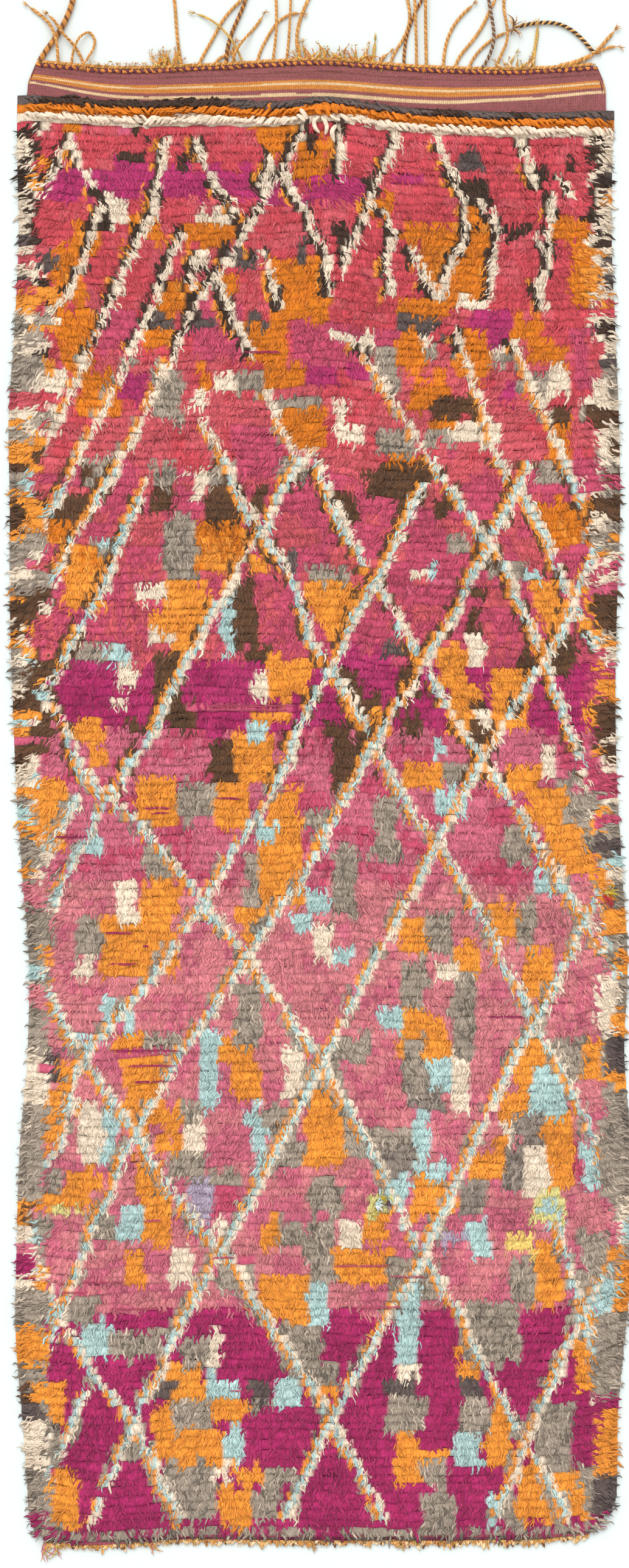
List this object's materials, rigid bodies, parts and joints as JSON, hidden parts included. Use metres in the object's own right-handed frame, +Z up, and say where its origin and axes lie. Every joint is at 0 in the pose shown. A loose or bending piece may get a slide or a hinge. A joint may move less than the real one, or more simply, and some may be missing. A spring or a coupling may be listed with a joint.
{
  "type": "moroccan rug",
  "caption": "Long shaggy hand-knotted wool rug laid flat, with a lozenge lattice pile, a flat-woven striped head band and twisted warp cords.",
  "frame": {"origin": "middle of the woven length on the flat underside, where the rug rests on a floor", "axes": "+X across the rug to the right as seen in the picture, +Y along the rug from the foot to the head with its cords, +Z up out of the pile"},
  "size_m": [1.2063, 3.0196, 0.0316],
  "materials": {
    "ground_weave": "weft-faced wool weave, aubergine with orange and cream stripes at the head, rose under the pile",
    "pile_wool": "long matted wool pile in rose, magenta and berry, with cream, orange, brown, grey and light blue lozenge lines and dashes",
    "head_cords": "hand-twisted two-ply wool warp, tan with brown",
    "foot_ends": "cut and looped tan wool warp ends"
  },
  "bodies": {
    "root": {"ground_cloth": "ground_weave", "pile": "pile_wool", "head_fringe": "head_cords", "foot_fringe": "foot_ends"}
  },
  "joints": []
}
